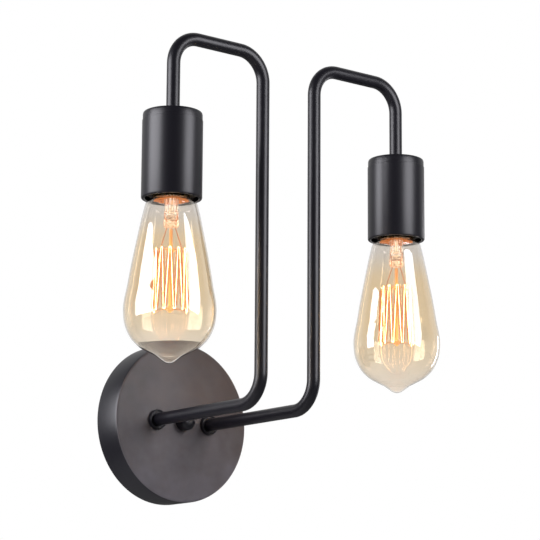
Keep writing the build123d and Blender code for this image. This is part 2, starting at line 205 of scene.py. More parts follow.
class Shader(Graph):
    """A new material, its Principled shader and the nodes that feed it.

    Args:
        name: the material's name.
        colour: base colour.
        sockets: values for the Principled shader's other sockets, by name.
    """

    def __init__(self, name: str, colour: Colour, **sockets: float) -> None:
        self.material = bpy.data.materials.new(name)
        self.material.use_nodes = True
        super().__init__(self.material.node_tree)
        self.surface = self.tree.nodes["Principled BSDF"]
        self.surface.inputs["Base Color"].default_value = (*colour, 1.0)
        for socket, value in sockets.items():
            self.surface.inputs[socket.replace("_", " ")].default_value = value

    def feed(self, socket: str, value: Plug) -> None:
        """Joins a socket to one of the surface's own."""
        self.link(value, self.surface.inputs[socket])

    def light(self, colour: Colour) -> None:
        """Gives the surface's own light its colour."""
        self.surface.inputs["Emission Color"].default_value = (*colour, 1.0)

    def noise(self, scale: float, detail: float = 2.0, upright: float = 1.0) -> Plug:
        """Noise on the object's own coordinates.

        Args:
            scale: features per metre, roughly.
            detail: octaves.
            upright: how dense it is along Z against the other ways; below 1 it
                makes upright streaks.

        Returns:
            The noise value's socket.
        """
        place = self.add("TexCoord").outputs["Object"]
        squeeze = self.add("VectorMath", {0: place, 1: (1.0, 1.0, upright)},
                           operation="MULTIPLY").outputs["Vector"]
        cloud = self.add("TexNoise", {"Vector": squeeze, "Scale": scale, "Detail": detail})
        return cloud.outputs["Fac"]

    def spread(self, value: Plug, low: float, high: float) -> Plug:
        """Maps the middle of a noise value to a range of numbers."""
        return self.span(value, (0.3, 0.7), (low, high))

    def height(self, low: float, high: float) -> Plug:
        """How high a point lies between two levels in metres, from 0 to 1."""
        return self.along((0.0, 0.0, 1.0), low, high)

    def bump(self, height: Plug, depth: float) -> None:
        """Feeds a height in metres to the surface's normal."""
        relief = self.add("Bump", {"Strength": 1.0, "Distance": depth, "Height": height})
        self.feed("Normal", relief.outputs["Normal"])

    def blend(self, value: Plug, steps: Ramp, socket: str = "Base Color") -> Plug:
        """Feeds a colour of the surface from a run of colours, picked by a value.

        Args:
            value: the number that picks the colour.
            steps: places along the run, from 0 to 1, with their colours.
            socket: the surface's socket that takes the colour.

        Returns:
            The colour's socket.
        """
        ramp = self.add("ValToRGB", {"Fac": value})
        stops = ramp.color_ramp.elements
        for _ in steps[2:]:
            stops.new(0.5)
        for stop, (place, colour) in zip(stops, steps):
            stop.position = place
            stop.color = (*colour, 1.0)
        self.feed(socket, ramp.outputs["Color"])
        return ramp.outputs["Color"]


@dataclass(frozen=True)
class Paint:
    """Even satin stove paint with a fine grain."""

    name: str
    colour: Colour
    roughness: float = 0.4
    specular: float = 0.45
    grain: float = 0.006 * MM

    def material(self) -> Material:
        """The paint as a material."""
        shader = Shader(self.name, self.colour, Roughness=self.roughness,
                        Specular_IOR_Level=self.specular)
        shader.bump(shader.noise(PAINT_GRAIN), self.grain)
        return shader.material


@dataclass(frozen=True)
class CloudedPaint:
    """The canopy face's black paint, clouded, with painted light: bluish low down, browner high
    up.

    The pale bluish bottom and browner top are painted light. It is darker
    towards one shoulder and paler past the middle, as painted shade and
    painted light. The levels and the fade are metres from the middle of the face.
    """

    name: str = "clouded black paint"
    # low, middle and high: painted light by height, paler and bluish low, browner high
    low: Colour = (0.140, 0.130, 0.144)
    middle: Colour = (0.099, 0.086, 0.088)
    high: Colour = (0.101, 0.078, 0.074)
    levels: tuple[float, float] = (-0.06, 0.06)
    drift: float = 0.25
    shoulder: Point = (0.7, 0.0, -0.7)
    fade: tuple[float, float] = (-0.045, 0.0)
    # deep and pale: painted shade towards one shoulder, painted light past the middle
    deep: float = 0.74
    pale: float = 1.22
    mottle: float = 0.11
    roughness: float = 0.46
    grain: float = 0.006 * MM

    def material(self) -> Material:
        """The paint as a material."""
        shader = Shader(self.name, self.middle, Roughness=self.roughness)
        # hue by height is painted light; the noise on it is random tone
        hue = shader.math("ADD", shader.height(*self.levels),
                          shader.spread(shader.noise(42.0, 7.0), -self.drift, self.drift))
        colour = shader.blend(hue, ((0.0, self.low), (0.5, self.middle), (0.95, self.high)))
        clouds = shader.spread(shader.noise(75.0, 6.0), self.deep - self.mottle,
                               self.deep + self.mottle)
        # painted shade and light by place, times random clouds
        depth = shader.math("MULTIPLY_ADD", shader.along(self.shoulder, *self.fade),
                            self.pale - self.deep, clouds)
        painted_light_colour = shader.add("VectorMath", {0: colour, "Scale": depth}, operation="SCALE")
        shader.feed("Base Color", painted_light_colour.outputs["Vector"])
        shader.bump(shader.noise(PAINT_GRAIN), self.grain)
        return shader.material


@dataclass(frozen=True)
class Metal:
    """Bare or plated metal with faint handling marks."""

    name: str
    colour: Colour
    roughness: float = 0.3

    def material(self) -> Material:
        """The metal as a material."""
        shader = Shader(self.name, self.colour, Metallic=1.0)
        shader.feed("Roughness", shader.spread(shader.noise(180.0, 4.0), self.roughness * 0.8,
                                               self.roughness * 1.25))
        return shader.material


@dataclass(frozen=True)
class Moulded:
    """Moulded or fused stuff with an even surface."""

    name: str
    colour: Colour
    roughness: float = 0.5

    def material(self) -> Material:
        """The moulding as a material."""
        shader = Shader(self.name, self.colour)
        shader.feed("Roughness", shader.spread(shader.noise(400.0, 3.0), self.roughness * 0.85,
                                               self.roughness * 1.2))
        return shader.material


@dataclass(frozen=True)
class Glass:
    """Clear glass that lets the lights reach what it holds.

    The tint may change with height, between the two levels in metres. The
    surface may be rippled, as where glass was pinched hot, and it may carry
    painted glints: streaks of its own light that stand in for reflections and for the
    filament's light on it.
    """

    name: str
    tint: Colour
    shade: Colour
    ior: float = 1.6
    gloss: float = 1.0
    by_height: Ramp = ()
    levels: tuple[float, float] = (0.0, 1.0)
    ripple: float = 0.0
    sparkle: float = 0.0
    sparks: Ramp = ((0.44, (0.0, 0.0, 0.0)), (0.50, (0.40, 0.11, 0.02)),
                    (0.55, (0.60, 0.24, 0.08)), (0.59, (1.0, 0.93, 0.78)))
    upright: float = 1.0

    def material(self) -> Material:
        """The glass as a material."""
        shader = Shader(self.name, self.tint, Roughness=0.0, IOR=self.ior,
                        Transmission_Weight=1.0, Specular_IOR_Level=self.gloss)
        if self.by_height:
            shader.blend(shader.height(*self.levels), self.by_height)
        if self.ripple:
            shader.bump(shader.noise(700.0, 1.0), self.ripple)
        # painted glints: the glass's own light in noise streaks, in place of highlights and
        # reflections
        if self.sparkle:
            shader.surface.inputs["Emission Strength"].default_value = self.sparkle
            shader.blend(shader.noise(1000.0, 2.0, self.upright), self.sparks,
                         "Emission Color")
        path = shader.add("LightPath").outputs
        clear = shader.add("BsdfTransparent", {"Color": (*self.shade, 1.0)}).outputs["BSDF"]
        mixed = shader.mix(path["Is Shadow Ray"], shader.surface.outputs["BSDF"], clear)
        shader.link(mixed, shader.tree.nodes["Material Output"].inputs["Surface"])
        return shader.material


@dataclass(frozen=True)
class Glow:
    """A surface that gives light of its own."""

    name: str
    colour: Colour
    light: Colour
    strength: float

    def material(self) -> Material:
        """The glowing stuff as a material."""
        shader = Shader(self.name, self.colour, Roughness=0.6, Emission_Strength=self.strength)
        shader.light(self.light)
        return shader.material


@dataclass(frozen=True)
class LitRod:
    """The glass rod: bright inside the cage, fading up to the press."""

    name: str = "lit glass rod"
    colour: Colour = (0.50, 0.26, 0.11)
    inside: Colour = (1.0, 0.60, 0.18)
    above: Colour = (0.40, 0.15, 0.05)
    levels: tuple[float, float] = (0.094, 0.106)
    strength: float = 0.85

    def material(self) -> Material:
        """The rod as a material."""
        shader = Shader(self.name, self.colour, Roughness=0.15, Emission_Strength=self.strength)
        shader.blend(shader.height(*self.levels), ((0.0, self.inside), (1.0, self.above)),
                     "Emission Color")
        return shader.material


@dataclass(frozen=True)
class Haze:
    """The soft light round a glowing wire: a thin skin that is mostly air."""

    name: str = "warm haze"
    light: Colour = (1.0, 0.32, 0.105)
    strength: float = 0.98
    cover: float = 0.31

    def material(self) -> Material:
        """The haze as a material."""
        shader = Shader(self.name, (0.0, 0.0, 0.0), Roughness=1.0, Specular_IOR_Level=0.0,
                        Emission_Strength=self.strength, Alpha=self.cover)
        shader.light(self.light)
        shader.feed("Alpha", shader.spread(shader.noise(220.0), self.cover * 0.75,
                                           self.cover * 1.25))
        return shader.material


@dataclass(frozen=True)
class Cement:
    """Fused cement in the lamp's base, mottled and lit by the filament."""

    name: str = "base cement"
    dark: Colour = (0.20, 0.050, 0.010)
    pale: Colour = (0.72, 0.225, 0.042)
    bright: Colour = (1.0, 0.60, 0.28)
    strength: float = 0.46
    grain: float = 0.3 * MM

    def material(self) -> Material:
        """The cement as a material."""
        shader = Shader(self.name, self.pale, Roughness=0.55, Emission_Strength=self.strength)
        cloud = shader.noise(650.0, 4.0)
        colour = shader.blend(cloud, ((0.34, self.dark), (0.48, self.pale), (0.62, self.pale),
                                      (0.72, self.bright)))
        shader.feed("Emission Color", colour)
        shader.bump(cloud, self.grain)
        return shader.material


class Finishes:
    """Every finish of the light, each made into a material once."""

    def __init__(self) -> None:
        self.black = Paint("satin black paint", (0.0048, 0.0043, 0.0080), roughness=0.36,
                           specular=0.5).material()
        # the canopy face: paint with painted light and shade
        self.face = CloudedPaint().material()
        # bright metal on the cup lip: a painted highlight line
        self.edge = Metal("rubbed edge", (0.42, 0.42, 0.44), 0.3).material()
        self.zinc = Metal("zinc plate", (0.55, 0.55, 0.53), 0.34).material()
        self.green = Paint("green dyed zinc", (0.03, 0.22, 0.07), roughness=0.3).material()
        self.nickel = Metal("nickel plate", (0.62, 0.58, 0.52), 0.26).material()
        self.brass = Metal("brass", (0.70, 0.48, 0.20), 0.24).material()
        self.solder = Metal("solder", (0.60, 0.60, 0.60), 0.42).material()
        self.copper = Metal("copper wire", (0.62, 0.24, 0.11), 0.35).material()
        # the support wires glow: painted light from the filament
        self.support = Glow("support wire", (0.50, 0.30, 0.18), (1.0, 0.35, 0.10),
                            0.25).material()
        self.phenolic = Moulded("black phenolic", (0.010, 0.010, 0.010), 0.55).material()
        self.black_glass = Moulded("black glass", (0.008, 0.008, 0.010), 0.12).material()
        self.amber = Glass(
            "gold tinted glass", (0.85, 0.722, 0.562), (0.95, 0.90, 0.80), ior=1.64,
            by_height=((0.0, (0.91, 0.855, 0.79)), (0.2, (0.865, 0.79, 0.68)),
                       (0.42, (0.86, 0.755, 0.60)), (0.74, (0.85, 0.745, 0.59)),
                       (0.92, (0.79, 0.755, 0.715))),
            levels=(0.0185, 0.1335)).material()
        # clear glass: painted reflections as upright streaks of its own light; pinched glass:
        # painted glints
        self.clear = Glass(
            "clear glass", (0.98, 0.94, 0.87), (0.985, 0.97, 0.94), sparkle=0.5, upright=0.04,
            sparks=((0.48, (0.0, 0.0, 0.0)), (0.53, (0.12, 0.04, 0.01)),
                    (0.57, (0.30, 0.20, 0.10)), (0.61, (1.0, 0.96, 0.88)))).material()
        self.pinched = Glass("pinched glass", (0.97, 0.80, 0.62), (0.98, 0.95, 0.9),
                             ripple=0.7 * MM, sparkle=0.6).material()
        self.bead = Glow("lit bead", (0.80, 0.40, 0.20), (1.0, 0.40, 0.12), 0.45).material()
        self.cement = Cement().material()
        self.filament = Glow("glowing filament", (0.4, 0.3, 0.2), (1.0, 0.68, 0.35),
                             24.0).material()
        self.haze = Haze().material()
        self.lit_rod = LitRod().material()
        self.dark_cement = Moulded("dark cement", (0.035, 0.022, 0.014), 0.8).material()


# --------------------------------------------------------------------------
# modelling moves
# --------------------------------------------------------------------------
@dataclass(frozen=True)
class Knot:
    """One point of a curve: a sharp corner, or rounded through it."""

    at: Point
    sharp: bool = True


def deselect() -> None:
    """Leaves nothing selected."""
    bpy.ops.object.select_all(action="DESELECT")


def keep_only(piece: Piece) -> None:
    """Selects one object and makes it the active one."""
    deselect()
    piece.select_set(True)
    bpy.context.view_layer.objects.active = piece


@contextmanager
def editing(piece: Piece, action: str = "SELECT") -> Iterator[None]:
    """Works on one piece's mesh in edit mode.

    Args:
        piece: the piece.
        action: whether all of it starts selected or not, or an empty text to
            leave that as it is.
    """
    keep_only(piece)
    bpy.ops.object.mode_set(mode="EDIT")
    if action:
        bpy.ops.mesh.select_all(action=action)
    yield
    bpy.ops.object.mode_set(mode="OBJECT")


def pick_faces(piece: Piece, chosen: Choice) -> None:
    """Selects the faces of a piece that a test chooses, and nothing else."""
    with editing(piece, "DESELECT"):
        bpy.ops.mesh.select_mode(type="FACE")
    for face in piece.data.polygons:
        face.select = chosen(face)


def smooth(piece: Piece, angle: float) -> None:
    """Smooths a piece where its faces meet at less than an angle in degrees."""
    keep_only(piece)
    bpy.ops.object.shade_smooth_by_angle(angle=radians(angle))


def draw(name: str, knots: list[Knot], closed: bool = False, fineness: int = 8) -> Piece:
    """A curve through some knots.

    Args:
        name: the object's name.
        knots: its points in order.
        closed: whether the last point joins the first.
        fineness: pieces for each rounded stretch.

    Returns:
        The curve object, alone selected.
    """
    deselect()
    bpy.ops.curve.primitive_bezier_curve_add(location=(0, 0, 0))
    curve = bpy.context.object
    curve.name = name
    spline = curve.data.splines[0]
    spline.bezier_points.add(len(knots) - 2)
    for point, knot in zip(spline.bezier_points, knots):
        point.handle_left_type = point.handle_right_type = "VECTOR" if knot.sharp else "AUTO"
        point.co = knot.at
    spline.use_cyclic_u = closed
    curve.data.dimensions = "3D"
    curve.data.resolution_u = fineness
    return curve


def thicken(route: Piece, diameter: float, sides: int) -> None:
    """Gives a curve a round section.

    Args:
        route: the curve.
        diameter: in millimetres.
        sides: Blender's bevel resolution, so 2 gives 8 sides.
    """
    route.data.bevel_depth = diameter / 2 * MM
    route.data.bevel_resolution = sides


def to_mesh(piece: Piece) -> Piece:
    """Turns a curve into a mesh."""
    keep_only(piece)
    bpy.ops.object.convert(target="MESH")
    return bpy.context.object


def tidy(piece: Piece, angle: float = 35.0) -> Piece:
    """Merges doubles, turns the faces outwards and smooths them by angle."""
    with editing(piece):
        bpy.ops.mesh.remove_doubles(threshold=MERGE)
        bpy.ops.mesh.normals_make_consistent(inside=False)
    smooth(piece, angle)
    return piece


def settle(piece: Piece, place: Vector, axis: Axis = Axis.UP) -> Piece:
    """Stands a piece at its place and bakes the place into its mesh."""
    keep_only(piece)
    piece.location = place
    piece.rotation_euler = axis.value
    bpy.ops.object.transform_apply(location=True, rotation=True, scale=True)
    return piece


def finish_with(piece: Piece, kind: str, **values: object) -> None:
    """Adds a modifier, sets it and applies it."""
    keep_only(piece)
    bpy.ops.object.modifier_add(type=kind)
    modifier = piece.modifiers[-1]
    for key, value in values.items():
        setattr(modifier, key, value)
    bpy.ops.object.modifier_apply(modifier=modifier.name)


def lathe(name: str, outline: Outline, place: Vector, axis: Axis = Axis.UP,
          closed: bool = False, steps: int = 96, fineness: int = 8) -> Piece:
    """Turns an outline round an axis.

    Args:
        name: the piece's name.
        outline: radius and height in millimetres, and ROUND where it isn't a
            corner.
        place: where the outline's origin goes.
        axis: the direction that heights are counted in.
        closed: whether the outline returns to its start.
        steps: faces round the axis.
        fineness: pieces for each rounded stretch of the outline.

    Returns:
        The turned piece.
    """
    knots = [Knot((r * MM, 0.0, z * MM), not rounded) for r, z, *rounded in outline]
    piece = to_mesh(draw(name, knots, closed, fineness))
    with editing(piece):
        bpy.ops.mesh.spin(steps=steps, angle=2 * pi, center=(0, 0, 0), axis=(0, 0, 1))
    return settle(tidy(piece), place, axis)


def wire(name: str, knots: list[Knot], diameter: float, fineness: int = 8) -> Piece:
    """A round wire along a route.

    Args:
        name: the piece's name.
        knots: the route, in metres.
        diameter: in millimetres.
        fineness: pieces for each rounded stretch.

    Returns:
        The wire as a closed mesh.
    """
    route = draw(name, knots, fineness=fineness)
    thicken(route, diameter, 1)
    route.data.use_fill_caps = True
    return tidy(to_mesh(route), 60.0)


def join(name: str, parts: list[Piece]) -> Piece:
    """Joins parts of one piece into one object."""
    deselect()
    for part in parts:
        part.select_set(True)
    bpy.context.view_layer.objects.active = parts[0]
    bpy.ops.object.join()
    piece = bpy.context.object
    piece.name = name
    return piece


def dress(piece: Piece, body: str, finish: Material, slot: str, *nodes: str) -> None:
    """Gives a piece its finish and its body, and hides the solids that it replaces.

    Args:
        piece: the modelled piece.
        body: the body that it moves with.
        finish: its material.
        slot: a material slot's name, not used.
        nodes: the solids that it replaces.
    """
    piece.data.materials.clear()
    piece.data.materials.append(finish)
    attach(piece, body)
    if nodes:
        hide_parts(*nodes)
    log.info("%s on %s: %d faces", piece.name, body, len(piece.data.polygons))


def second_finish(piece: Piece, finish: Material, chosen: Choice) -> None:
    """Gives another finish to the faces of a piece that a test chooses."""
    piece.data.materials.append(finish)
    for face in piece.data.polygons:
        face.material_index = int(chosen(face))


def repaint(finish: Material, *nodes: str) -> None:
    """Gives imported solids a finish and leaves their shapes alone."""
    for node in nodes:
        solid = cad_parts[node]
        solid.data.materials.clear()
        solid.data.materials.append(finish)
        log.info("%s keeps its solid", node)


# --------------------------------------------------------------------------
# wall side
# --------------------------------------------------------------------------
@dataclass
class WallSide:
    """Canopy, cap nut, stud and crossbar.

    The stud is kept a little short of its solid at both ends.
    """

    finishes: Finishes
    canopy_d: float = 120.0
    depth: float = 25.0
    sheet: float = 1.2
    edge: float = 2.0
    nut_d: float = 12.6
    nut_h: float = 10.0
    nut_dome: float = 3.0
    stud_d: float = 9.5
    stud_thread: float = 0.45
    stud_bore: float = 6.4
    stud_pitch: float = 0.94
    stud_short: float = 0.1

    def canopy(self) -> None:
        """The pressed pan, with a rolled front edge and a thin rear rim."""
        outer, inner = self.canopy_d / 2, self.canopy_d / 2 - self.sheet
        face, back = self.depth, self.depth - self.sheet
        edge, cut = self.edge, self.edge * MITRE
        pan = lathe("canopy_pan", [
            (0, face), (outer - edge, face), (outer - cut, face - cut, ROUND),
            (outer, face - edge), (outer, 0.15), (outer - 0.15, 0),
            (inner + 0.15, 0), (inner, 0.15), (inner, back - 0.8),
            (inner - 0.24, back - 0.24, ROUND), (inner - 0.8, back), (0, back),
        ], Vector((0, 0, 0)), Axis.OUT_OF_WALL, steps=160)
        dress(pan, FIXTURE, self.finishes.face, "black_paint", "canopy")
        second_finish(pan, self.finishes.black, lambda face: face.normal.y > -0.5)

    def cap_nut(self) -> None:
        """The domed nut in the middle of the face."""
        r, h, dome = self.nut_d / 2, self.nut_h, self.nut_dome
        nut = lathe("cap_nut_turned", [
            (0, h, ROUND), (r - dome, h - 0.25, ROUND), (r - 0.6, h - dome * 0.62, ROUND),
            (r, h - dome - 0.4), (r, 0.4), (r - 0.4, 0), (0, 0),
        ], Vector((0, -self.depth * MM, 0)), Axis.OUT_OF_WALL, steps=64)
        dress(nut, FIXTURE, self.finishes.black, "black_paint", "cap_nut")

    def stud(self) -> None:
        """The hollow threaded stud between the crossbar and the cap nut."""
        low, high = box("nipple")
        length = (high[1] - low[1]) / MM - 2 * self.stud_short
        stud = threaded("stud", self.stud_d / 2, self.stud_thread, self.stud_pitch, length,
                        Vector((0, high[1] - self.stud_short * MM, 0)), Axis.OUT_OF_WALL,
                        self.stud_bore / 2)
        dress(stud, FIXTURE, self.finishes.zinc, "zinc_steel", "nipple")

    def build(self) -> None:
        """Makes and dresses the wall side."""
        self.canopy()
        self.cap_nut()
        self.stud()
        repaint(self.finishes.zinc, "crossbar", "nipple_locknut")
        repaint(self.finishes.green, "ground_screw")


def threaded(name: str, radius: float, depth: float, pitch: float, length: float,
             place: Vector, axis: Axis, bore: float = 0.0, rounded: bool = False,
             wall: float = 0.0) -> Piece:
    """A threaded stud, tube or shell.

    Args:
        name: the piece's name.
        radius: over the crests, in millimetres like every length here.
        depth: crest to root.
        pitch: rise in one turn.
        length: of the finished thread.
        place: where its start goes.
        axis: the direction that it grows in.
        bore: inner radius of a tube, or 0.
        rounded: whether the thread is a rolled wave and not a sharp vee.
        wall: thickness of a thin shell with open ends, or 0.

    Returns:
        The threaded piece.
    """
    root = radius - depth
    shoulder = radius - depth * 0.15
    wave = [(radius, 0.0), (shoulder, 0.22), (root, 0.5), (shoulder, 0.78)]
    vee = [(radius, 0.0), (radius, 0.08), (root, 0.5), (radius, 0.92)]
    knots = [Knot((r * MM, 0.0, (t - 1.0) * pitch * MM), not rounded)
             for r, t in (wave if rounded else vee)]
    knots.append(Knot((radius * MM, 0.0, 0.0), not rounded))
    piece = to_mesh(draw(name, knots, fineness=4))
    finish_with(piece, "SCREW", screw_offset=pitch * MM, iterations=int(length / pitch) + 2,
                steps=48, render_steps=48, use_merge_vertices=True, use_normal_calculate=True)
    tidy(piece)
    for height, upper in ((0.0, False), (length, True)):
        with editing(piece):
            bpy.ops.mesh.bisect(plane_co=(0, 0, height * MM), plane_no=(0, 0, 1),
                                clear_outer=upper, clear_inner=not upper)
    if wall:
        finish_with(piece, "SOLIDIFY", thickness=wall * MM, offset=-1.0,
                    use_even_offset=True)
    else:
        close_ends(piece, length, bore)
    return settle(tidy(piece), place, axis)


def close_ends(piece: Piece, length: float, bore: float) -> None:
    """Caps a thread's two ends, and bores it when it is a tube.

    Args:
        piece: the open thread, standing on its own origin.
        length: its height in millimetres.
        bore: inner radius in millimetres, or 0 for a solid end.
    """
    with editing(piece, "DESELECT"):
        bpy.ops.mesh.select_mode(type="EDGE")
        bpy.ops.mesh.select_non_manifold(extend=False, use_wire=False, use_multi_face=False,
                                         use_non_contiguous=False, use_verts=False)
        bpy.ops.mesh.fill(use_beauty=True)
    tidy(piece)
    if bore:
        deselect()
        bpy.ops.mesh.primitive_cylinder_add(vertices=48, radius=bore * MM,
                                            depth=(length + 2.0) * MM,
                                            location=(0, 0, length / 2 * MM))
        drill = bpy.context.object
        finish_with(piece, "BOOLEAN", operation="DIFFERENCE", object=drill, solver="EXACT")
        bpy.data.objects.remove(drill, do_unlink=True)


# --------------------------------------------------------------------------
# arms
# --------------------------------------------------------------------------
@dataclass
class Arm:
    """One bent tube with its collar, neck ring, washer and nuts.

    The play is between the tube and the rings round it. The tube ends drop_in
    below its nut in the cup, and its ends are open for open_in.
    """

    finishes: Finishes
    side: Side
    tube_d: float = 9.5
    wall: float = 1.0
    bend: float = 21.0
    collar_d: float = 15.0
    collar_h: float = 3.4
    recess_d: float = 12.6
    recess: float = 1.1
    ring_d: float = 12.8
    ring_h: float = 2.0
    ring_edge: float = 0.8
    play: float = 0.05
    drop_in: float = 6.0
    open_in: float = 9.0

    @property
    def corners(self) -> list[Vector]:
        """The tube's ends and the corners of its middle line, from its box."""
        low, high = (Vector(v) for v in box(self.side.node("arm")))
        r = self.tube_d / 2 * MM
        near, far = low.x + r, high.x - r
        if self.side is Side.LEFT:
            near, far = far, near
        out, top, run = low.y + r, high.z - r, low.z + r
        drop = box(self.side.node("cup_locknut"))[0][2] - self.drop_in * MM
        return [Vector(place) for place in ((near, high.y, run), (near, out, run),
                                            (near, out, top), (far, out, top),
                                            (far, out, drop))]

    def tube(self) -> None:
        """The bent tube: straight runs and quarter turns, open at both ends."""
        ends = self.corners
        route = draw(f"tube_{self.side.word}", [Knot(tuple(p)) for p in ends], fineness=20)
        points = route.data.splines[0].bezier_points
        points.add(3)
        places = [(ends[0], None, None)]
        for before, corner, after in zip(ends, ends[1:], ends[2:]):
            into, away = (corner - before).normalized(), (after - corner).normalized()
            start, end = corner - into * self.bend * MM, corner + away * self.bend * MM
            pull = ARC_PULL * self.bend * MM
            places += [(start, None, start + into * pull), (end, end - away * pull, None)]
        places.append((ends[-1], None, None))
        for point, (at, left, right) in zip(points, places):
            point.handle_left_type = point.handle_right_type = "FREE"
            point.co = at
            point.handle_left = left if left else at
            point.handle_right = right if right else at
        thicken(route, self.tube_d, 12)
        route.data.twist_mode = "MINIMUM"
        route.data.use_fill_caps = True
        piece = tidy(to_mesh(route), 50.0)
        self.open_end(piece, ends[0], Vector((0, 1, 0)))
        self.open_end(piece, ends[-1], Vector((0, 0, -1)))
        dress(piece, FIXTURE, self.finishes.black, "black_paint", self.side.node("arm"))

    def open_end(self, piece: Piece, end: Vector, way: Vector) -> None:
        """Bores one end of the tube.

        Args:
            piece: the tube.
            end: the middle of its end.
            way: the direction that the end faces.
        """
        pick_faces(piece, lambda face: (face.center - end).length < self.tube_d * MM
                   and face.normal.dot(way) > 0.9)
        with editing(piece, ""):
            bpy.ops.mesh.inset(thickness=self.wall * MM, use_even_offset=True)
            bpy.ops.mesh.extrude_region_move(TRANSFORM_OT_translate={
                "value": tuple(-way * self.open_in * MM), "orient_type": "GLOBAL"})
        smooth(piece, 50.0)

    def collar(self) -> None:
        """The ring nut on the canopy: a rounded rim round a shallow recess."""
        low, high = box(self.side.node("collar"))
        place = Vector(((low[0] + high[0]) / 2, high[1], 0))
        r, h, bore = self.collar_d / 2, self.collar_h, self.tube_d / 2 + self.play
        dip, rim = self.recess_d / 2, (self.collar_d - self.recess_d) / 2
        piece = lathe(f"ring_nut_{self.side.word}", [
            (bore, 0), (r - 0.2, 0), (r, 0.2), (r, h - rim * 0.6),
            (r - rim * 0.16, h - rim * 0.16, ROUND), (r - rim * 0.5, h, ROUND),
            (dip + rim * 0.16, h - rim * 0.16, ROUND), (dip, h - rim * 0.6),
            (dip, h - self.recess), (bore, h - self.recess),
        ], place, Axis.OUT_OF_WALL, closed=True, steps=64)
        dress(piece, FIXTURE, self.finishes.black, "black_paint", self.side.node("collar"))

    def neck_ring(self) -> None:
        """The small round nut on top of the cup."""
        low, high = box(self.side.node("neck_ring"))
        place = Vector(((low[0] + high[0]) / 2, (low[1] + high[1]) / 2, low[2]))
        r, h, bore = self.ring_d / 2, self.ring_h, self.tube_d / 2 + self.play
        edge, cut = self.ring_edge, self.ring_edge * 0.3
        piece = lathe(f"top_nut_{self.side.word}", [
            (bore, 0), (r, 0), (r, h - edge), (r - cut, h - cut, ROUND), (r - edge, h),
            (bore, h),
        ], place, closed=True, steps=64)
        dress(piece, FIXTURE, self.finishes.black, "black_paint", self.side.node("neck_ring"))

    def build(self) -> None:
        """Makes and dresses one arm."""
        self.tube()
        self.collar()
        self.neck_ring()
        repaint(self.finishes.zinc, *map(self.side.node,
                                         ("arm_washer", "arm_locknut", "cup_locknut")))


# --------------------------------------------------------------------------
# sockets
# --------------------------------------------------------------------------
@dataclass
class Socket:
    """One cup with the lampholder inside it; heights are over the cup's mouth.

    A band of bright metal between the two heights of its lip paints the lip's highlight line.
    """

    finishes: Finishes
    side: Side
    cup_d: float = 42.5
    hole_r: float = 4.9
    length: float = 62.0
    wall: float = 1.0
    cap_h: float = 6.0
    step: float = 0.35
    top_edge: float = 1.8
    lip_d: float = 37.6
    lip_edge: float = 1.2
    # heights of the lip band that carries the painted highlight
    rubbed: tuple[float, float] = (0.1, 0.4)
    holder_d: float = 36.0
    holder_up: float = 3.0
    holder_bore: float = 27.8
    holder_floor: float = 28.0
    holder_top: float = 50.0
    boss_r: float = 8.5
    boss_top: float = 57.5
    tube_r: float = 4.8
    tube_seat: float = 50.5
    wire_r: float = 3.4

    @property
    def mouth(self) -> Vector:
        """The middle of the cup's mouth."""
        place = middle(self.side.node("cup"))
        return Vector((place.x, place.y, box(self.side.node("cup"))[0][2]))

    def cup(self) -> None:
        """The turned cup with its seam, rounded shoulder and turned-in lip."""
        r, cap, top = self.cup_d / 2, self.cup_d / 2 - self.step, self.length
        seam, edge, lip, w = self.length - self.cap_h, self.top_edge, self.lip_d / 2, self.wall
        low = self.lip_edge
        cut, dip, hole = edge * MITRE, low * MITRE, self.hole_r
        piece = lathe(f"socket_cup_{self.side.word}", [
            (hole, top), (cap - edge, top), (cap - cut, top - cut, ROUND), (cap, top - edge),
            (cap, seam + 0.12), (r - 0.1, seam), (r, seam - 0.12), (r, low),
            (r - dip, dip, ROUND), (r - low, 0), (lip + 0.5, 0), (lip, 0.5), (lip, w - 0.1),
            (lip + 0.1, w), (r - w, w), (r - w, seam - w), (cap - w, seam - w),
            (cap - w, top - w), (hole, top - w),
        ], self.mouth, closed=True, steps=128)
        dress(piece, FIXTURE, self.finishes.black, "black_paint", self.side.node("cup"))
        # painted highlight: bright metal on the lip's small edge
        second_finish(piece, self.finishes.edge, self.on_lip)

    def on_lip(self, face: bpy.types.MeshPolygon) -> bool:
        """Whether a face of the cup is on the small edge of its lip that carries the painted
        highlight.
        """
        spot, (low, high) = face.center - self.mouth, self.rubbed
        return (low * MM < spot.z < high * MM
                and spot.xy.length < (self.lip_d / 2 + high) * MM)

    def holder(self) -> None:
        """The moulded lampholder's skirt and floor round the screw shell."""
        r, bore, up = self.holder_d / 2, self.holder_bore / 2, self.holder_up
        floor, top = self.holder_floor, self.holder_top
        piece = lathe(f"holder_{self.side.word}", [
            (bore, up + 0.5), (bore + 0.5, up), (r - 0.6, up), (r, up + 0.6), (r, top - 3),
            (r - 3, top), (self.boss_r, top), (self.boss_r, self.boss_top),
            (self.tube_r, self.boss_top), (self.tube_r, self.tube_seat),
            (self.wire_r, self.tube_seat), (self.wire_r, floor), (bore, floor),
        ], self.mouth, closed=True, steps=96)
        dress(piece, FIXTURE, self.finishes.phenolic, "black_phenolic",
              self.side.node("lampholder"))

    def build(self) -> None:
        """Makes and dresses one socket."""
        self.cup()
        self.holder()
        node = self.side.node
        repaint(self.finishes.nickel, node("screw_shell"), node("neutral_terminal"))
        repaint(self.finishes.brass, node("centre_contact"), node("live_terminal"))


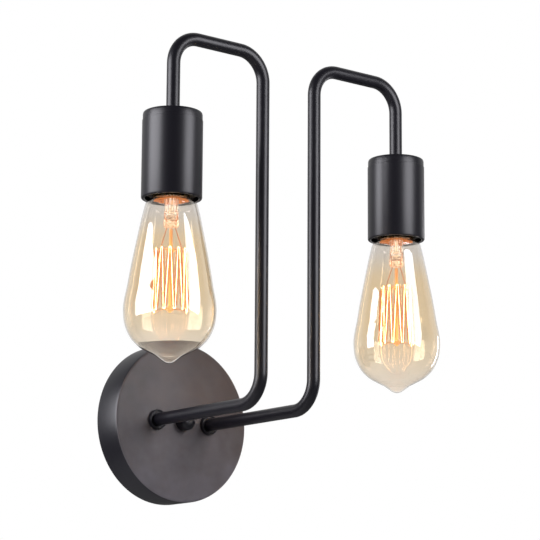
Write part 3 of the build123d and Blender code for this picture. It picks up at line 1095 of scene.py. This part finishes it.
# --------------------------------------------------------------------------
# lamps
# --------------------------------------------------------------------------
@dataclass
class Lamp:
    """One filament lamp; heights are millimetres above the tip of its glass.

    The swell is what the glass's curve bulges past its points. Turns are
    degrees, and the cage is open on the side of open_turn. The haze's shape
    gives places along a strand, from 0 to 1, with shares of its diameter.
    """

    finishes: Finishes
    side: Side
    width: float = 64.0
    swell: float = 0.1
    widest: float = 34.0
    glass: float = 115.0
    wall: float = 0.9
    neck_r: float = 12.6
    neck_h: float = 1.2
    base_d: float = 26.0
    base_l: float = 21.8
    base_pitch: float = 25.4 / 7
    base_thread: float = 0.8
    base_sheet: float = 0.3
    thread_in: float = 3.2
    flare_drop: float = 0.7
    flare_bore: float = 2.2
    stem_d: float = 10.0
    stem_end: float = 102.5
    exhaust_r: float = 2.1
    exhaust_bore: float = 1.3
    press_w: float = 10.4
    press_l: float = 8.0
    rod_d: float = 2.4
    rod_end: float = 36.0
    bead_d: float = 5.4
    bead_h: float = 3.2
    bead_lift: float = 1.6
    top_r: float = 10.8
    top_z: float = 79.0
    foot_r: float = 12.2
    foot_z: float = 36.2
    feet: int = 8
    strand_step: float = 16.5
    open_turn: float = 51.4
    hook_w: float = 1.3
    hook_h: float = 0.9
    filament_d: float = 0.29
    haze_d: float = 3.8
    haze_shape: tuple[tuple[float, float], ...] = ((0.0, 0.1), (0.06, 1.0), (0.94, 1.0),
                                                   (1.0, 0.1))
    support_d: float = 0.4
    lead_d: float = 0.6

    @property
    def tip(self) -> Vector:
        """The lowest point of the glass."""
        place = middle(self.side.node("lamp_glass"))
        return Vector((place.x, place.y, box(self.side.node("lamp_glass"))[0][2]))

    def spot(self, radius: float, turn: float, z: float) -> Point:
        """A point at a radius from the lamp's axis, a turn and a height."""
        tip, angle = self.tip, radians(turn)
        return (tip.x + radius * MM * cos(angle), tip.y + radius * MM * sin(angle),
                tip.z + z * MM)

    def strand_turn(self, i: int) -> float:
        """Direction of the filament's i-th end or hook, from its first end."""
        return self.open_turn + 180 + (i - self.feet) * self.strand_step

    def fit(self, piece: Piece, finish: Material, slot: str, *pieces: str) -> None:
        """Dresses a piece that turns with this lamp, for its own solids."""
        dress(piece, self.side.lamp_body, finish, slot, *map(self.side.node, pieces))

    def envelope(self) -> None:
        """The blown glass: its outside, then its wall inwards."""
        r, neck = self.width / 2 - self.swell, self.neck_r
        outside = [(0, 0), (1.6, 0.2), (3.3, 0.9), (5.7, 2.5), (9.4, 5.2), (14.6, 7.9),
                   (21.4, 12.0), (28.3, 20.3), (r, self.widest), (29.1, 56), (23.6, 86),
                   (18.75, 108.6), (17.8, 111.7), (15.3, 114.1), (neck + 0.1, self.glass + 0.5)]
        outline = [(*point, ROUND) for point in outside] + [(neck, self.glass + self.neck_h)]
        piece = lathe(f"envelope_{self.side.word}", outline, self.tip, steps=144, fineness=12)
        finish_with(piece, "SOLIDIFY", thickness=self.wall * MM, offset=-1.0,
                    use_even_offset=True)
        smooth(piece, 60.0)
        self.fit(piece, self.finishes.amber, "amber_glass", "lamp_glass")

    def stem(self) -> None:
        """The stem: flare, tube with its pinched press, rod and two beads."""
        self.tube_in_glass()
        self.flare()
        self.rod_and_beads()

    def tube_in_glass(self) -> None:
        """The stem's clear tube with the exhaust tube in it, and its rippled press."""
        rim, low = self.glass + self.neck_h, self.stem_end + 3.4
        r, bore = self.exhaust_r, self.exhaust_bore
        exhaust = lathe("exhaust_tube", [(r, rim), (r, low), (bore, low), (bore, rim)],
                        self.tip, closed=True, steps=32)
        glass = join(f"stem_{self.side.word}", [self.tube_and_press(), exhaust])
        self.fit(glass, self.finishes.clear, "clear_glass", "lamp_stem")
        # the press carries painted glints
        second_finish(glass, self.finishes.pinched,
                      lambda face: face.center.z < self.tip.z + (self.stem_end + 0.1) * MM)

    def flare(self) -> None:
        """The stem's dark flare, its underside lit orange by the filament."""
        rim, low = self.glass + self.neck_h, self.glass - self.flare_drop
        r, bore = self.neck_r - self.wall, self.flare_bore
        bell = lathe(f"flare_{self.side.word}", [
            (r - 0.05, rim), (r - 0.05, low + 1.3), (r + 1.15, low + 0.5),
            (r + 1.15, low + 0.1, ROUND), (r + 0.8, low, ROUND), (r + 0.2, low + 0.2, ROUND),
            (self.stem_d / 2 + 2.6, low + 1.3, ROUND), (bore, low + 1.3), (bore, rim),
        ], self.tip, closed=True, steps=64)
        self.fit(bell, self.finishes.dark_cement, "copper")
        second_finish(bell, self.finishes.cement, lambda face: face.normal.z < -0.05)

    def rod_and_beads(self) -> None:
        """The glass rod under the press and the two beads that hold the stars."""
        r, top = self.rod_d / 2, self.stem_end - self.press_l - 0.9
        rod = lathe(f"rod_{self.side.word}", [
            (0, self.rod_end - 1), (0.8, self.rod_end - 0.7), (r, self.rod_end), (r, top),
            (0, top),
        ], self.tip, steps=20)
        self.fit(rod, self.finishes.lit_rod, "clear_glass")
        r, half = self.bead_d / 2, self.bead_h / 2
        beads = [lathe("bead", [(0, z - half), (r - 1.0, z - half, ROUND), (r, z, ROUND),
                                (r - 1.0, z + half, ROUND), (0, z + half)],
                       self.tip, steps=28, fineness=5)
                 for z in (self.top_z, self.foot_z + self.bead_lift)]
        self.fit(join(f"beads_{self.side.word}", beads), self.finishes.bead, "clear_glass")

    def tube_and_press(self) -> Piece:
        """The stem's tube with a round floor, and its end squeezed flat below."""
        r, end, top = self.stem_d / 2, self.stem_end, self.glass + 0.55
        piece = lathe("tube_and_press", [
            (r, top), (r, end), (0, end), (0, end + 1.2, ROUND),
            (r - 2.4, end + 1.7, ROUND), (r - 1.0, end + 4.0, ROUND), (r - 1.0, top),
            (r, top),
        ], Vector((0, 0, 0)), steps=48)
        pick_faces(piece, lambda face: face.normal.z < -0.9
                   and face.center.z < (end + 0.5) * MM)
        height = end * MM
        with editing(piece, ""):
            for down, wide, thick in ((2.0, 1.04, 0.72), (1.6, 1.02, 0.68), (3.0, 1.0, 0.93),
                                      (0.9, 0.93, 1.0), (0.5, 0.88, 0.8)):
                height -= down * MM
                bpy.ops.mesh.extrude_region_move(TRANSFORM_OT_translate={
                    "value": (0, 0, -down * MM), "orient_type": "GLOBAL"})
                bpy.ops.transform.resize(value=(wide, thick, 1.0), orient_type="GLOBAL",
                                         center_override=(0, 0, height))
        tidy(piece)
        piece.rotation_euler = (0, 0, radians(self.open_turn - 90))
        bpy.ops.object.transform_apply(location=False, rotation=True, scale=False)
        return settle(piece, self.tip)

    def supports(self, upper: bool) -> None:
        """One star of fine wires, each with a curl round the filament.

        Args:
            upper: whether it is the star at the filament's top.
        """
        radius, z = (self.top_r, self.top_z) if upper else (self.foot_r, self.foot_z)
        hub = z if upper else z + self.bead_lift
        lift = self.hook_h if upper else -self.hook_h
        wires = []
        for i in range(2 if upper else 1, 2 * self.feet, 2):
            turn = self.strand_turn(i)
            route = [(self.bead_d / 2 - 0.8, hub), (radius * 0.62, hub + lift * 0.5),
                     (radius - 0.5, z + lift * 0.2), (radius + 0.45, z - lift * 0.35),
                     (radius + 0.35, z + lift * 0.55), (radius - 0.35, z + lift * 0.45)]
            wires.append(wire("support", [Knot(self.spot(r, turn, h), sharp=False)
                                          for r, h in route], self.support_d, fineness=4))
        word = "upper" if upper else "lower"
        piece = join(f"{word}_star_{self.side.word}", wires)
        self.fit(piece, self.finishes.support, "support_wire", f"{word}_supports")

    def cage(self) -> list[Knot]:
        """The filament's route, rounded over each hook."""
        knots = [Knot(self.spot(self.top_r, self.strand_turn(0), self.top_z))]
        for i in range(1, 2 * self.feet):
            foot = i % 2 == 1
            radius, z = (self.foot_r, self.foot_z) if foot else (self.top_r, self.top_z)
            bend = -1.0 if foot else 1.0
            for k in range(5):
                swing = radians(180 - 45 * k)
                across = degrees(self.hook_w / 2 * cos(swing) / radius)
                knots.append(Knot(self.spot(radius, self.strand_turn(i) + across,
                                            z + bend * (sin(swing) - 0.5) * self.hook_h)))
        last = self.strand_turn(2 * self.feet)
        knots.append(Knot(self.spot(self.top_r, last, self.top_z)))
        return knots

    def filament(self) -> None:
        """The glowing wire, up and down between the hooks."""
        piece = wire(f"cage_{self.side.word}", self.cage(), self.filament_d)
        self.fit(piece, self.finishes.filament, "filament", "filament")
        self.fit(self.haze(), self.finishes.haze, "filament")

    def haze(self) -> Piece:
        """A spindle of soft light round each strand of the cage."""
        strands = []
        for i in range(2 * self.feet):
            foot, top = (i, i + 1) if i % 2 else (i + 1, i)
            low = Vector(self.spot(self.foot_r, self.strand_turn(foot), self.foot_z))
            high = Vector(self.spot(self.top_r, self.strand_turn(top), self.top_z))
            route = draw("strand haze",
                         [Knot(tuple(low.lerp(high, along))) for along, _ in self.haze_shape])
            thicken(route, self.haze_d, 2)
            for point, (_, share) in zip(route.data.splines[0].bezier_points, self.haze_shape):
                point.radius = share
            strands.append(tidy(to_mesh(route), 80.0))
        return join(f"cage_haze_{self.side.word}", strands)

    def lead(self, name: str, first: bool) -> None:
        """A lead-in wire from the base, through the press, to one filament end.

        Args:
            name: the solid that it stands for.
            first: whether it goes to the filament's first end.
        """
        way = self.open_turn + (90 if first else -90)
        across, foot = self.press_w / 2 - 2.0, self.stem_end - self.press_l
        knots = [Knot(self.spot(across, way, z))
                 for z in (self.glass + 1.2, foot + 0.5, foot - 0.8)]
        turn = self.strand_turn(0 if first else 2 * self.feet)
        knots += [Knot(self.spot(self.top_r, turn, z))
                  for z in (self.top_z + 0.4, self.top_z - 0.9)]
        piece = wire(f"{name}_wire_{self.side.word}", knots, self.lead_d)
        self.fit(piece, self.finishes.copper, "copper", name)

    def base(self) -> None:
        """The rolled screw base, its cement and the end of its shell."""
        mouth = self.tip + Vector((0, 0, self.glass * MM))
        r, top = self.base_d / 2, self.base_l
        shell = threaded("thread", r, self.base_thread, self.base_pitch,
                         top - 2 * self.thread_in,
                         mouth + Vector((0, 0, self.thread_in * MM)), Axis.UP, rounded=True,
                         wall=self.base_sheet)
        skirt = lathe("skirt", [(r - 0.3, 0.1), (r, 0.3), (r - 0.1, 3.4), (r - 0.3, 3.4)],
                      mouth, closed=True)
        crown = lathe("crown", [
            (r - 0.5, top - 3.4), (r - 0.2, top - 3.4), (r - 0.6, top - 1.6, ROUND),
            (r - 3.2, top), (r - 3.4, top - 0.4), (r - 1.0, top - 2.0, ROUND),
        ], mouth, closed=True)
        piece = join(f"screw_base_{self.side.word}", [shell, skirt, crown])
        self.fit(piece, self.finishes.brass, "brass", "lamp_base")
        cement = lathe(f"base_cement_{self.side.word}", [
            (0, 1.4), (12.4, 1.4), (12.7, 1.6), (12.7, 2.9), (0, 2.9)], mouth, steps=64)
        self.fit(cement, self.finishes.dark_cement, "copper")

    def build(self) -> None:
        """Makes and dresses one lamp."""
        self.envelope()
        self.stem()
        self.supports(upper=True)
        self.supports(upper=False)
        self.filament()
        self.lead("lead_a", first=True)
        self.lead("lead_b", first=False)
        self.base()
        repaint(self.finishes.black_glass, self.side.node("lamp_insulator"))
        repaint(self.finishes.solder, self.side.node("lamp_button"))


# --------------------------------------------------------------------------
# studio
# --------------------------------------------------------------------------
@dataclass
class Softbox:
    """One rectangular light, placed by its direction from the light's middle.

    Its lean in degrees turns its top towards a larger azimuth.
    """

    name: str
    azimuth: float
    elevation: float
    distance: float
    width: float
    height: float
    radiance: float
    lean: float = 0.0
    colour: Colour = (0.95, 0.94, 1.0)

    def build(self, target: Vector) -> None:
        """Makes the light and aims it at the target."""
        a, e = radians(self.azimuth), radians(self.elevation)
        away = Vector((sin(a) * cos(e), -cos(a) * cos(e), sin(e)))
        deselect()
        bpy.ops.object.light_add(type="AREA", location=target + away * self.distance)
        light = bpy.context.object
        light.name = self.name
        light.rotation_mode = "QUATERNION"
        light.rotation_quaternion = (away.to_track_quat("Z", "Y")
                                     @ Quaternion((0, 0, 1), radians(-self.lean)))
        light.data.shape = "RECTANGLE"
        light.data.size, light.data.size_y = self.width, self.height
        light.data.energy = self.radiance * pi * self.width * self.height
        light.data.color = self.colour


@dataclass
class Studio:
    """Camera, softboxes, white surround and floor; lengths are metres."""

    target: Point = (0.05526, -0.06, 0.11867)
    azimuth: float = -38.568
    elevation: float = -11.554
    roll: float = 0.357
    distance: float = 1.73205
    focal_px: float = 2268.0
    frame_px: float = 540.0
    sensor: float = 36.0
    clip: tuple[float, float] = (0.01, 50.0)
    floor_z: float = -1.7
    floor_size: float = 16.0
    floor_lift: float = 0.86
    mirrored: float = 0.10
    fill: float = 0.14
    back_wall: float = 0.65
    back_way: Point = (0.62, 0.78, 0.0)
    back_span: tuple[float, float] = (0.15, 0.5)
    back_rise: tuple[float, float] = (-0.3, 0.05)
    lit_point: Point = (0.0, -0.12, 0.1)

    def camera(self) -> None:
        """The camera at the photograph's viewing angle."""
        a, e, roll = radians(self.azimuth), radians(self.elevation), radians(self.roll)
        back = Vector((sin(a) * cos(e), -cos(a) * cos(e), sin(e)))
        right = Vector((cos(a), sin(a), 0.0))
        up = back.cross(right)
        across = right * cos(roll) + up * sin(roll)
        upright = up * cos(roll) - right * sin(roll)
        deselect()
        bpy.ops.object.camera_add(location=Vector(self.target) + back * self.distance)
        camera = bpy.context.object
        camera.rotation_mode = "QUATERNION"
        turned = Matrix((across, upright, back)).transposed()
        camera.rotation_quaternion = turned.to_quaternion()
        camera.data.sensor_width = self.sensor
        camera.data.lens = self.sensor * self.focal_px / self.frame_px
        camera.data.clip_start, camera.data.clip_end = self.clip
        bpy.context.scene.camera = camera

    def surround(self) -> None:
        """White where it is seen, softer where it lights and is mirrored."""
        world = bpy.data.worlds.new("white surround")
        bpy.context.scene.world = world
        world.use_nodes = True
        sky = Graph(world.node_tree)
        sky.tree.nodes.clear()
        pale = (1.0, 1.0, 1.0, 1.0)
        white, mirrored, fill, wall = (
            sky.add("Background", {"Color": pale, "Strength": level}).outputs[0]
            for level in (1.0, self.mirrored, self.fill, self.back_wall))
        facing, rising = (
            sky.along(way, *span, "Generated", interpolation_type="SMOOTHSTEP")
            for way, span in ((self.back_way, self.back_span),
                              ((0.0, 0.0, 1.0), self.back_rise)))
        path = sky.add("LightPath").outputs
        seen = sky.math("MAXIMUM", path["Is Camera Ray"], path["Is Transmission Ray"])
        mirror = sky.mix(sky.math("MULTIPLY", facing, rising), mirrored, wall)
        unseen = sky.mix(path["Is Glossy Ray"], fill, mirror)
        sky.add("OutputWorld", {"Surface": sky.mix(seen, unseen, white)})

    def floor(self) -> None:
        """A plain floor well below the light, white where it is seen but for shadows."""
        shader = Shader("pale floor", (0.66, 0.66, 0.66), Roughness=0.9)
        shader.light((1.0, 1.0, 1.0))
        path = shader.add("LightPath").outputs
        seen = shader.math("MAXIMUM", path["Is Camera Ray"], path["Is Transmission Ray"])
        shader.feed("Emission Strength", shader.math("MULTIPLY", seen, self.floor_lift))
        deselect()
        bpy.ops.mesh.primitive_plane_add(size=self.floor_size, location=(0, 0, self.floor_z))
        ground = bpy.context.object
        ground.name = "floor"
        ground.data.materials.append(shader.material)

    def build(self) -> None:
        """Sets up the whole studio."""
        self.camera()
        self.surround()
        self.floor()
        for softbox in (
            Softbox("right softbox", 18.5, 14.0, 0.62, 0.36, 0.44, 6.8, 12.0),
            Softbox("left softbox", -105.0, 12.5, 2.6, 2.25, 1.62, 8.2),
            Softbox("strip light", 99.0, -2.0, 1.4, 0.13, 0.62, 5.0),
        ):
            softbox.build(Vector(self.lit_point))
        bpy.context.scene.view_settings.view_transform = "Standard"


def main() -> None:
    """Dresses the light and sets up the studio."""
    logging.basicConfig(level=logging.INFO, format="%(message)s")
    finishes = Finishes()
    WallSide(finishes).build()
    for side in Side:
        Arm(finishes, side).build()
        Socket(finishes, side).build()
        Lamp(finishes, side).build()
    Studio().build()


if __name__ == "__main__":
    main()
